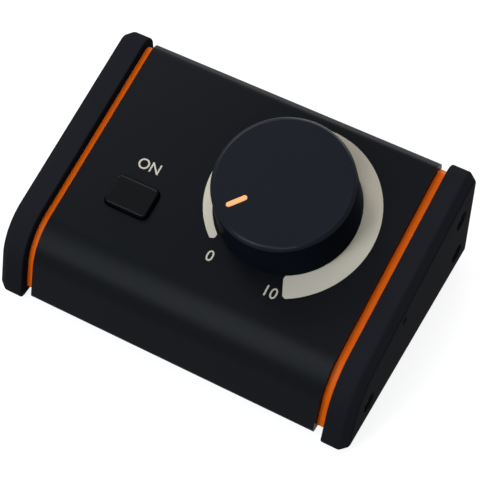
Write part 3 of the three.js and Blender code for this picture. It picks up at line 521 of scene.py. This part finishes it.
# ABS moulded in an etched tool. It gives a soft, even black with hardly any shine.
cheek_plastic = satin_plastic("moulded ABS, fine black texture", "#16171A", "#191A1D", 0.40,
                              0.45, 0.03, shine=0.0007)
stations = cheek_stations()
sizes = [(fixing, WELL_RADIUS, WELL_DEPTH) for fixing in cheek_fixings]
sizes.append((PEG_HOLE, PEG_RADIUS, PEG_DEPTH))
wells = [circle(centre, radius, 40) for centre, radius, _ in sizes]
mouths = [circle(centre, radius + WELL_MOUTH, 40) for centre, radius, _ in sizes]
for side, sign in (("right", 1), ("left", -1)):
    loops = [across(cheek_outline(inset), sign * x) for x, inset in stations]
    body = loft(loops, caps=(True, False))
    face = pierced(cheek_outline(stations[-1][1]), mouths,
                   lambda flat: across(flat, sign * cheek_end))
    walls = [loft([across(mouth, sign * cheek_end), across(well, sign * (cheek_end - WELL_MOUTH)),
                   across(well, sign * (cheek_end - depth))], caps=(False, True))
             for mouth, well, (_, _, depth) in zip(mouths, wells, sizes)]
    piece("end_cheek_" + side, [body, face, *walls], "case", cheek_plastic,
          ["cheek_" + side])


# Screws in the cheeks and under the base: pan heads with a cross recess, cold headed from steel
# and blackened. They sit in the counterbores and against the tray.
SCREW_HEAD, SCREW_HEIGHT, THREAD = 2.8, 2.2, 1.45
SCREW_TIP, SCREW_POINT, SCREW_SKIRT, SCREW_DOME = 0.8, 0.7, 0.15, 0.9
CROSS_REACH, CROSS_HALF, CROSS_FLOOR, CROSS_TAPER = 1.6, 0.4, 1.0, 0.85
CHEEK_SCREW, BASE_SCREW, BASE_SCREW_ACROSS = 12.2, 4.4, 30.0
BASE_SCREW_FRONT, BASE_SCREW_REAR = 5.4, 5.0
GAP = 0.3


def metal(name, colour, pale, roughness, grain_mm, depth_mm):
    """Metal with cloudiness about 4.5 mm wide and a grain of its own width, each one over its
    width in metres as the scale of its noise."""
    material, tree = new_material(name)
    spot = add(tree, "TexCoord").outputs["Object"]
    grain = add(tree, "TexNoise", Vector=spot, Scale=1 / (grain_mm * MM), Detail=2)
    cloud = add(tree, "TexNoise", Vector=spot, Scale=1 / (4.545 * MM), Detail=3)
    tint = add(tree, "Mix", {"data_type": "RGBA"}, Factor=cloud.outputs["Fac"],
               _6=linear(colour), _7=linear(pale))
    rough = add(tree, "MapRange", Value=cloud.outputs["Fac"],
                To_Min=roughness - 0.08, To_Max=roughness + 0.1)
    bump = add(tree, "Bump", Strength=0.25, Distance=depth_mm * MM, Height=grain.outputs["Fac"])
    skin = add(tree, "BsdfPrincipled", Base_Color=tint.outputs[2], Metallic=1.0,
               Roughness=rough.outputs[0], Normal=bump.outputs[0])
    add(tree, "OutputMaterial", Surface=skin.outputs[0])
    return material


# Blackened steel. It gives a dark grey metal with a dull, slightly patchy shine.
black_steel = metal("cold headed steel, black oxide", "#1E1F21", "#2B2C2F", 0.42, 0.3, 0.01)


def plane_at(place_mm, axis):
    """Plane through a place given in millimetres in the side view's frame, with the axis as its
    normal."""
    turn = Vector(axis).to_track_quat("Z", "Y").to_matrix().to_4x4()
    x, back, up = place_mm
    place = Vector((x, back + case_shift[0], up + case_shift[1])) * MM
    return Matrix.Translation(place) @ turn


def pan_screw(name, plane, length):
    """Screw from circles: a blunt tip, the shank, the head's skirt and a quarter ellipse up to
    its flat crown, into which a cross with tapered walls is sunk."""
    dome = np.linspace(0, math.pi / 2, 7)
    rows = [(SCREW_TIP, -length), (THREAD, SCREW_POINT - length), (THREAD, 0.0),
            (SCREW_HEAD - SCREW_SKIRT, 0.0), (SCREW_HEAD, SCREW_SKIRT),
            *zip(SCREW_HEAD - SCREW_DOME + SCREW_DOME * np.cos(dome),
                 SCREW_HEIGHT / 2 * (1 + np.sin(dome)))]
    shaft = loft([carried(circle((0, 0), radius, 40), height, plane) for radius, height in rows],
                 caps=(True, False))
    corner = np.array([(CROSS_REACH, -CROSS_HALF), (CROSS_REACH, CROSS_HALF),
                       (CROSS_HALF, CROSS_HALF)])
    turns = [np.array([(math.cos(a), math.sin(a)), (-math.sin(a), math.cos(a))])
             for a in np.radians((0, 90, 180, 270))]
    cross = np.concatenate([corner @ turn for turn in turns])
    crown = pierced(circle((0, 0), SCREW_HEAD - SCREW_DOME, 40), [cross],
                    lambda flat: carried(flat, SCREW_HEIGHT, plane))
    recess = loft([carried(cross, SCREW_HEIGHT, plane),
                   carried(cross * CROSS_TAPER, CROSS_FLOOR, plane)], caps=(False, True))
    piece(name + "_body", [shaft, crown, recess], "case", black_steel, [name])


for side, sign in (("right", 1), ("left", -1)):
    for number, (back, up) in enumerate(cheek_fixings, 1):
        pan_screw(f"cheek_screw_{side}_{number}",
                  plane_at((sign * (cheek_end - WELL_DEPTH + GAP), back, up), (sign, 0, 0)),
                  CHEEK_SCREW)
base_screws = [(sign * BASE_SCREW_ACROSS, back) for sign in (-1, 1)
               for back in (case_corners[0][0] + BASE_SCREW_FRONT, rear_wall - BASE_SCREW_REAR)]
for number, (x, back) in enumerate(base_screws, 1):
    pan_screw(f"base_screw_{number}", plane_at((x, back, -GAP), (0, 0, -1)), BASE_SCREW)


# Volume knob: ABS, hollow below, with a softly rounded rim and a black soft-touch lacquer.
# A grub screw, reached through a hole in its wall, holds the hub on the flatted shaft.
KNOB_HEIGHT, KNOB_TOP, KNOB_BASE, KNOB_RIM = 18.6, 22.65, 23.3, 1.6
KNOB_LIFT, KNOB_CEILING, KNOB_WALL = 0.8, 14.6, 4.0
HUB, HUB_BORE, HUB_LIFT, BORE_TOP = 7.5, 3.3, 4.3, 15.3
GRUB_UP, GRUB_BAND, GRUB_HOLE = 9.0, 3.0, 1.65
KNOB_CHAMFER, ROOF_RING, DRILLED_MARGIN = 0.4, 1.0, 0.3
POINTER = (11.8, 18.8, 1.7)
SLOT_GAP, SLOT_DEPTH = 0.1, 1.1
REST_ANGLE = 40.5
KNOB_SIDES = 128
DULL_FLANK, POLISHED_TOP = 0.0005, 0.07
rest_turn = math.radians(-90 - REST_ANGLE)
grub_turn = rest_turn + math.pi


def knob_circle(radius, height):
    """Circle of the knob, with its first point towards the grub screw."""
    angle = grub_turn + np.linspace(0, 2 * math.pi, KNOB_SIDES, endpoint=False)
    ray = np.column_stack([np.cos(angle), np.sin(angle)])
    return on_panel(np.asarray(KNOB_PLACE) + radius * ray, height)


def drilled_band(low_radius, high_radius):
    """Band of a turned wall with a hole square to the axis. A sector is filled round the hole in
    the flat of angle and height and bent back, and circles' quads fill the rest. The hole's edge
    runs at the arcsine of its sideways reach over the wall's radius."""
    heights = (GRUB_UP - GRUB_BAND, GRUB_UP + GRUB_BAND)
    step = 2 * math.pi / KNOB_SIDES
    half_angle = math.asin((GRUB_HOLE + DRILLED_MARGIN) / min(low_radius, high_radius))
    reach = int(half_angle / step) + 2
    scale = max(low_radius, high_radius)

    def bend(flat):
        radius = np.interp(flat[:, 1], heights, (low_radius, high_radius))
        angle = grub_turn + flat[:, 0] / scale
        ray = np.column_stack([np.cos(angle), np.sin(angle)])
        return on_panel(np.asarray(KNOB_PLACE) + radius[:, None] * ray, flat[:, 1])

    along = np.arange(-reach, reach + 1) * step * scale
    sector = np.concatenate([np.column_stack([along, np.full(len(along), heights[0])]),
                             np.column_stack([along[::-1], np.full(len(along), heights[1])])])
    spot = circle((0, GRUB_UP), GRUB_HOLE, 40)
    wall = np.interp(spot[:, 1], heights, (low_radius, high_radius))
    hole = np.column_stack([scale * np.arcsin(spot[:, 0] / wall), spot[:, 1]])
    rest = [knob_circle(radius, height)[reach:KNOB_SIDES + 1 - reach]
            for radius, height in zip((low_radius, high_radius), heights)]
    return [pierced(sector, [hole], bend), loft(rest, closed=False)], bend(hole)


def capsule(centre, turn, inner, outer, width):
    """Outline of a bar with round ends on a line from the centre, from one radius to another:
    each end is half a circle in eight steps."""
    half = width / 2
    bend = np.linspace(-math.pi / 2, math.pi / 2, 9)
    cap = half * np.column_stack([np.cos(bend), np.sin(bend)])
    outline = np.concatenate([cap + (outer - half, 0), -cap + (inner + half, 0)])
    spin = np.array([(math.cos(turn), math.sin(turn)), (-math.sin(turn), math.cos(turn))])
    return np.asarray(centre) + outline @ spin


def taper(height, low, high):
    """Radius of a conical wall at a height, in proportion between its low and high ends."""
    return float(np.interp(height, (low[1], high[1]), (low[0], high[0])))


# Soft-touch lacquer, sprayed. It gives a dull blue-black with a faint fine grain.
knob_satin = satin_plastic("soft-touch lacquer on moulded ABS, black", "#0A0D13", "#0D1117",
                           0.29, 0.4, 0.02)
# Hands have polished its top and rim, and the flank below has stayed dull.
tree = knob_satin.node_tree
panel_normal = panel_frame.col[2].xyz
above = add(tree, "VectorMath", {"operation": "DOT_PRODUCT"}, _1=panel_normal,
            _0=add(tree, "TexCoord").outputs["Object"]).outputs["Value"]
rim_start = panel_normal.dot(panel_frame.translation) + (KNOB_HEIGHT - KNOB_RIM) * MM
handled = add(tree, "MapRange", Value=above, From_Min=rim_start,
              From_Max=rim_start + KNOB_RIM / 2 * MM, To_Min=DULL_FLANK, To_Max=POLISHED_TOP)
lacquer = next(node for node in tree.nodes if node.type == "BSDF_PRINCIPLED")
tree.links.new(handled.outputs[0], lacquer.inputs["Specular IOR Level"])

rim = np.linspace(0, math.pi / 2, 9)
rim_rows = [(KNOB_TOP - KNOB_RIM + KNOB_RIM * math.cos(turn),
             KNOB_HEIGHT - KNOB_RIM + KNOB_RIM * math.sin(turn)) for turn in rim]
band_low, band_high = GRUB_UP - GRUB_BAND, GRUB_UP + GRUB_BAND
outer_low, outer_high = (KNOB_BASE, KNOB_LIFT + KNOB_CHAMFER), rim_rows[0]
cavity_low = (KNOB_BASE - KNOB_WALL, KNOB_LIFT)
cavity_high = (KNOB_TOP - KNOB_WALL, KNOB_CEILING)
outer_band = [taper(height, outer_low, outer_high) for height in (band_low, band_high)]
cavity_band = [taper(height, cavity_low, cavity_high) for height in (band_low, band_high)]
runs = [
    [(HUB_BORE, BORE_TOP), (HUB_BORE, band_high)],
    [(HUB_BORE, band_low), (HUB_BORE, HUB_LIFT), (HUB, HUB_LIFT), (HUB, band_low)],
    [(HUB, band_high), (HUB, KNOB_CEILING), cavity_high, (cavity_band[1], band_high)],
    [(cavity_band[0], band_low), cavity_low, (KNOB_BASE - KNOB_CHAMFER, KNOB_LIFT), outer_low,
     (outer_band[0], band_low)],
    [(outer_band[1], band_high), *rim_rows],
]
knob_parts = [loft([knob_circle(radius, height) for radius, height in run]) for run in runs]
drilled = [drilled_band(*radii)
           for radii in (outer_band, cavity_band, (HUB, HUB), (HUB_BORE, HUB_BORE))]
for surfaces, _ in drilled:
    knob_parts += surfaces
holes = [hole for _, hole in drilled]
knob_parts += [loft(holes[:2]), loft(holes[2:])]
inner, outer, width = POINTER
slot = capsule(KNOB_PLACE, rest_turn, inner - SLOT_GAP, outer + SLOT_GAP, width + 2 * SLOT_GAP)
angle = grub_turn + np.linspace(0, 2 * math.pi, KNOB_SIDES, endpoint=False)
top_edge = np.asarray(KNOB_PLACE) + rim_rows[-1][0] * np.column_stack(
    [np.cos(angle), np.sin(angle)])
knob_parts += [
    pierced(top_edge, [slot], lambda flat: on_panel(flat, KNOB_HEIGHT)),
    loft([on_panel(slot, KNOB_HEIGHT), on_panel(slot, KNOB_HEIGHT - SLOT_DEPTH)],
         caps=(False, True)),
    loft([knob_circle(radius, BORE_TOP) for radius in (HUB_BORE, ROOF_RING)], caps=(False, True)),
]
piece("knob_cap", knob_parts, "volume", knob_satin, ["volume_knob"])


# Pointer: pale orange line along a radius of the knob's top. It is a resin filler, pressed into
# a milled slot and wiped almost flush.
FILL_DEPTH, FILL_PROUD, FILL_EDGE, FILL_EDGE_DROP = 0.8, 0.04, 0.1, 0.03
# Filled resin. It gives a light, even orange with a dull shine.
pointer_fill = satin_plastic("resin filler, pale orange", "#D9955F", "#E0A06E", 0.5, 0.4, 0.02)
bar = capsule(KNOB_PLACE, rest_turn, inner, outer, width)
inner_bar = capsule(KNOB_PLACE, rest_turn, inner + FILL_EDGE, outer - FILL_EDGE,
                    width - 2 * FILL_EDGE)
fill_loops = [on_panel(bar, KNOB_HEIGHT - FILL_DEPTH), on_panel(bar, KNOB_HEIGHT - FILL_EDGE_DROP),
              on_panel(inner_bar, KNOB_HEIGHT + FILL_PROUD)]
piece("pointer_line", [loft(fill_loops, caps=(True, True))], "volume",
      pointer_fill, ["knob_pointer"])


# Print on the panel: warm grey screen ink, 0.04 mm thick. A crescent round the knob widens
# clockwise with the level, plain numbers stand at its two ends, and a word above the button.
CRESCENT_CENTRE = (15.25, 46.0)
CRESCENT_START, CRESCENT_END, CRESCENT_STEPS = 38.8, 335.4, 220
CRESCENT_INNER, CRESCENT_OUTER, CRESCENT_GROWTH = 23.88, 25.87, 0.0168
CRESCENT_EASE = 1.0
INK, INK_START = 0.04, 0.005
LETTER_SIZE, LETTER_WEIGHT, LETTER_MERGED = 5.2, 0.03, 1e-7
# Screen ink. It gives a flat, warm light grey with a hint of mesh in it.
ink = satin_plastic("screen printing ink, warm grey", "#9E988A", "#A8A294", 0.55, 0.3, 0.01)


def crescent():
    """Ring segment whose outer radius grows in proportion to the clockwise angle from straight
    down. Its four corners are quarter circles: near each end the radii draw in by the easing
    less the height of a circle of that radius."""
    degrees = np.linspace(CRESCENT_START, CRESCENT_END, CRESCENT_STEPS)
    inner = np.full_like(degrees, CRESCENT_INNER)
    outer = CRESCENT_OUTER + CRESCENT_GROWTH * degrees
    room = (outer - inner) / 2
    reach = np.minimum(degrees - degrees[0], degrees[-1] - degrees) * math.radians(1) * inner
    soft = np.clip(reach / CRESCENT_EASE, 0, 1)
    bite = np.minimum(CRESCENT_EASE * (1 - np.sqrt(1 - (1 - soft) ** 2)), room)
    turn = np.radians(-90 - degrees)
    ray = np.column_stack([np.cos(turn), np.sin(turn)])
    return (np.asarray(CRESCENT_CENTRE) + (inner + bite)[:, None] * ray,
            np.asarray(CRESCENT_CENTRE) + (outer - bite)[:, None] * ray)


inner_edge, outer_edge = crescent()
section = [on_panel(inner_edge, INK_START), on_panel(inner_edge, INK),
           on_panel(outer_edge, INK), on_panel(outer_edge, INK_START)]
piece("level_crescent", [loft(np.stack(section, 1), caps=(True, True))], "case", ink)


def printed_words(name, words, place):
    """Plain letters as thick as the ink, lying on the panel with their middle at the place."""
    curve = bpy.data.curves.new(name, "FONT")
    curve.body = words
    curve.size = LETTER_SIZE * MM
    curve.offset = LETTER_WEIGHT * MM
    curve.extrude = INK * MM / 2
    curve.align_x, curve.align_y = "CENTER", "CENTER"
    text = bpy.data.objects.new(name + "_curve", curve)
    bpy.context.scene.collection.objects.link(text)
    mesh = bpy.data.meshes.new_from_object(text)
    bpy.data.objects.remove(text)
    shape = bmesh.new()
    shape.from_mesh(mesh)
    bmesh.ops.remove_doubles(shape, verts=shape.verts, dist=LETTER_MERGED)
    shape.to_mesh(mesh)
    shape.free()
    mesh.transform(panel_frame @ Matrix.Translation(
        (place[0] * MM, place[1] * MM, (INK / 2 + INK_START) * MM)))
    mesh.name = name
    mesh.materials.clear()
    mesh.materials.append(ink)
    made = bpy.data.objects.new(name, mesh)
    bpy.context.scene.collection.objects.link(made)
    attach(made, "case")


printed_words("number_lowest", "0", (1.2, 20.2))
printed_words("number_highest", "10", (23.9, 17.6))
printed_words("button_label", "ON", (-31.5, 39.1))


# Mono button: hollow moulded ABS cap with a rounded top edge. Its flange holds it under the
# panel, and the spring of the switch below pushes it back up.
BUTTON_PROUD, BUTTON_RIM, LEAST_BUTTON_CORNER = 2.0, 0.8, 0.4
BUTTON_WALL, BUTTON_CEILING = 1.3, 0.7
FLANGE, FLANGE_TOP, FLANGE_FOOT = 1.2, -2.4, -3.6
# Smooth ABS. It gives a black that catches a thin light line on the rounded edge.
button_plastic = satin_plastic("moulded ABS, satin black", "#060708", "#090A0C", 0.26, 0.35, 0.02,
                               shine=0.05)


def button_loop(inset, height):
    """The button's outline on the panel, drawn in by the inset, at a height above it."""
    width, length, corner = BUTTON
    return on_panel(rounded_rectangle(BUTTON_PLACE, width - 2 * inset, length - 2 * inset,
                                      max(corner - inset, LEAST_BUTTON_CORNER)), height)


rim_loops = [button_loop(BUTTON_RIM * (1 - math.cos(turn)),
                         BUTTON_PROUD - BUTTON_RIM + BUTTON_RIM * math.sin(turn))
             for turn in np.linspace(0, math.pi / 2, 6)]
button_loops = [button_loop(BUTTON_WALL, BUTTON_CEILING), button_loop(BUTTON_WALL, FLANGE_FOOT),
                button_loop(-FLANGE, FLANGE_FOOT), button_loop(-FLANGE, FLANGE_TOP),
                button_loop(0, FLANGE_TOP), *rim_loops]
piece("button_cap", [loft(button_loops, caps=(True, True))], "mono",
      button_plastic, ["mono_button"])


# Base tray and sockets: a folded steel tray, powder coated like the case, and sockets moulded
# from glass-filled nylon, which stand on the rear board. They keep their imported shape, with
# their edges eased as folding and moulding leave them.
TRAY_EASE, SOCKET_EASE = 0.2, 0.25
FLATNESS = math.radians(1)
node_slot = {entry["node"]: entry["material_slot"] for entry in frame["record"]["subparts"]}


def finished_copy(name, width, material):
    """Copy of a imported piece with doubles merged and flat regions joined, whose edges sharper
    than the crease angle are rounded off by the given width; it takes the piece's place."""
    node = frame["nodes"][name]
    shape = bmesh.new()
    shape.from_mesh(node.data)
    shape.transform(node.matrix_world)
    bmesh.ops.remove_doubles(shape, verts=shape.verts, dist=MERGED)
    bmesh.ops.dissolve_limit(shape, angle_limit=FLATNESS, verts=shape.verts, edges=shape.edges)
    mesh = bpy.data.meshes.new(name + "_finished")
    shape.to_mesh(mesh)
    shape.free()
    mesh.materials.append(material)
    mesh.shade_smooth()
    made = bpy.data.objects.new(name + "_finished", mesh)
    bpy.context.scene.collection.objects.link(made)
    ease = made.modifiers.new("eased edges", "BEVEL")
    ease.limit_method = "ANGLE"
    ease.angle_limit = CREASE
    ease.width = width * MM
    ease.segments = 2
    made.modifiers.new("flat faces stay flat", "WEIGHTED_NORMAL")
    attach(made, "case")
    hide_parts(name)


# Glass-filled nylon. It gives a dull black with a dry, slightly uneven skin.
black_nylon = satin_plastic("glass-filled nylon, black", "#131315", "#18181A", 0.55, 0.3, 0.02)
finished_copy("base_tray", TRAY_EASE, black_coat)
for name in ("jack_output_left", "jack_output_right", "jack_input_left", "jack_input_right",
             "mini_jack"):
    finished_copy(name, SOCKET_EASE, black_nylon)


# Socket nuts: chamfered hexagons for the large jacks and a knurled ring for the small one,
# turned from brass and nickel plated, and screwed up against the rear panel.
NUT_REACH, NUT_HEIGHT, NUT_LEAD = 7.0, 2.4, 0.25
RING_REACH, RING_HEIGHT, KNURL_DEPTH, KNURL_RIBS = 4.0, 1.8, 0.12, 24
CHAMFER_START, CHAMFER_SLOPE = 0.97, 2.2
# Nickel plate. It gives a bright, slightly warm metal with fine turning marks.
nickel = metal("nickel plated brass", "#A9A9A6", "#B6B5B0", 0.28, 0.15, 0.008)


def nut(name, x, up, reach, bore, thickness):
    """Nut on the rear panel: the smaller of its outline's reach and of a cone that widens from
    each face, at every height, and a plain bore with a short lead-in."""
    plane = plane_at((x, rear_wall, up), (0, 1, 0))
    angle = np.linspace(0, 2 * math.pi, len(reach), endpoint=False)
    ray = np.column_stack([np.cos(angle), np.sin(angle)])
    near_face = np.array([0.0, 0.12, 0.25, 0.4, 0.6])
    heights = np.concatenate([near_face, thickness - near_face[::-1]])
    cone = (reach.min() * CHAMFER_START
            + CHAMFER_SLOPE * np.minimum(heights, thickness - heights))
    outer = [carried(np.minimum(reach, limit)[:, None] * ray, GAP + height, plane)
             for height, limit in zip(heights, cone)]
    inner = [carried(radius * ray, GAP + height, plane) for radius, height in
             ((bore + NUT_LEAD, thickness), (bore, thickness - NUT_LEAD), (bore, NUT_LEAD),
              (bore + NUT_LEAD, 0))]
    piece(name + "_turned", [loft([*outer, *inner, outer[0]])], "case", nickel,
          [name])


turns = np.linspace(0, 360, 120, endpoint=False)
hexagon = NUT_REACH / np.cos(np.radians(turns % 60 - 30))
for name, x in zip(("output_left", "output_right", "input_left", "input_right"), JACK_ACROSS):
    nut("jack_nut_" + name, x, JACK_UP, hexagon, JACK_HOLE, NUT_HEIGHT)
knurled = RING_REACH - KNURL_DEPTH * np.abs(np.sin(np.radians(turns * KNURL_RIBS / 2)))
nut("mini_jack_nut", *MINI_JACK_PLACE, knurled, MINI_JACK_HOLE, RING_HEIGHT)


# Feet: four discs of black rubber under the tray's corners. They are moulded with a dimple
# below and glued on.
FOOT_TOP, FOOT_TIP, FOOT_HEIGHT, FOOT_EDGE = 6.0, 5.3, 3.5, 0.4
FOOT_ACROSS = 42.0
DIMPLE_MOUTH, DIMPLE_FLOOR, DIMPLE_DEPTH = 2.6, 2.3, 0.35
foot_backs = {"front": 12.0, "rear": rear_wall - 18.0}
# Moulded rubber. It gives a deep, dry black that hardly shines.
rubber = satin_plastic("moulded rubber, matt black", "#121213", "#161617", 0.85, 0.5, 0.05)
turn = np.linspace(0, math.pi / 2, 6)
foot_rows = [(FOOT_TOP, 0.0), *zip(FOOT_TIP - FOOT_EDGE + FOOT_EDGE * np.cos(turn),
                                   FOOT_HEIGHT - FOOT_EDGE + FOOT_EDGE * np.sin(turn)),
             (DIMPLE_MOUTH, FOOT_HEIGHT), (DIMPLE_FLOOR, FOOT_HEIGHT - DIMPLE_DEPTH)]
for row, back in foot_backs.items():
    for side, sign in (("left", -1), ("right", 1)):
        plane = plane_at((sign * FOOT_ACROSS, back, 0.0), (0, 0, -1))
        loops = [carried(circle((0, 0), radius, 64), height, plane)
                 for radius, height in foot_rows]
        piece(f"foot_{row}_{side}_moulded", [loft(loops, caps=(True, True))], "case",
              rubber, [f"foot_{row}_{side}"])


# Pieces inside: the boards and their screws and standoffs, the potentiometer, the switch, the
# ribbon cable and the knob's grub screw. They are stock parts, screwed or soldered in place.
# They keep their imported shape, and each gets the finish of the real part.
finishes = {
    # Blackened steel of the grub screw.
    "black_screw": black_steel,
    # Bright plate of the potentiometer, its nut and washer, the spring and the board screws.
    "plain_steel": nickel,
    # Moulded housing of the switch and plugs of the ribbon cable.
    "black_plastic": black_nylon,
    # Brass standoffs. They give a warm yellow metal with fine turning marks.
    "brass": metal("turned brass", "#B59A4C", "#BCA358", 0.3, 0.15, 0.008),
    # Solder mask. It gives a smooth, glossy green with the weave of the laminate under it.
    "board_green": satin_plastic("solder mask on glass laminate", "#1F5B3A", "#24643F", 0.35,
                                 0.4, 0.01, shine=0.3),
    # Flexible PVC. It gives a light grey with a weak, waxy shine.
    "ribbon_grey": satin_plastic("flexible PVC insulation, grey", "#8F949A", "#969BA1", 0.5,
                                 0.4, 0.02, shine=0.2),
    # Moulded stem of the switch.
    "button_plastic": button_plastic,
}
for name, node in frame["nodes"].items():
    if not node.hide_render:
        node.data.materials.clear()
        node.data.materials.append(finishes[node_slot[name]])

bpy.context.scene.view_settings.view_transform = "Standard"
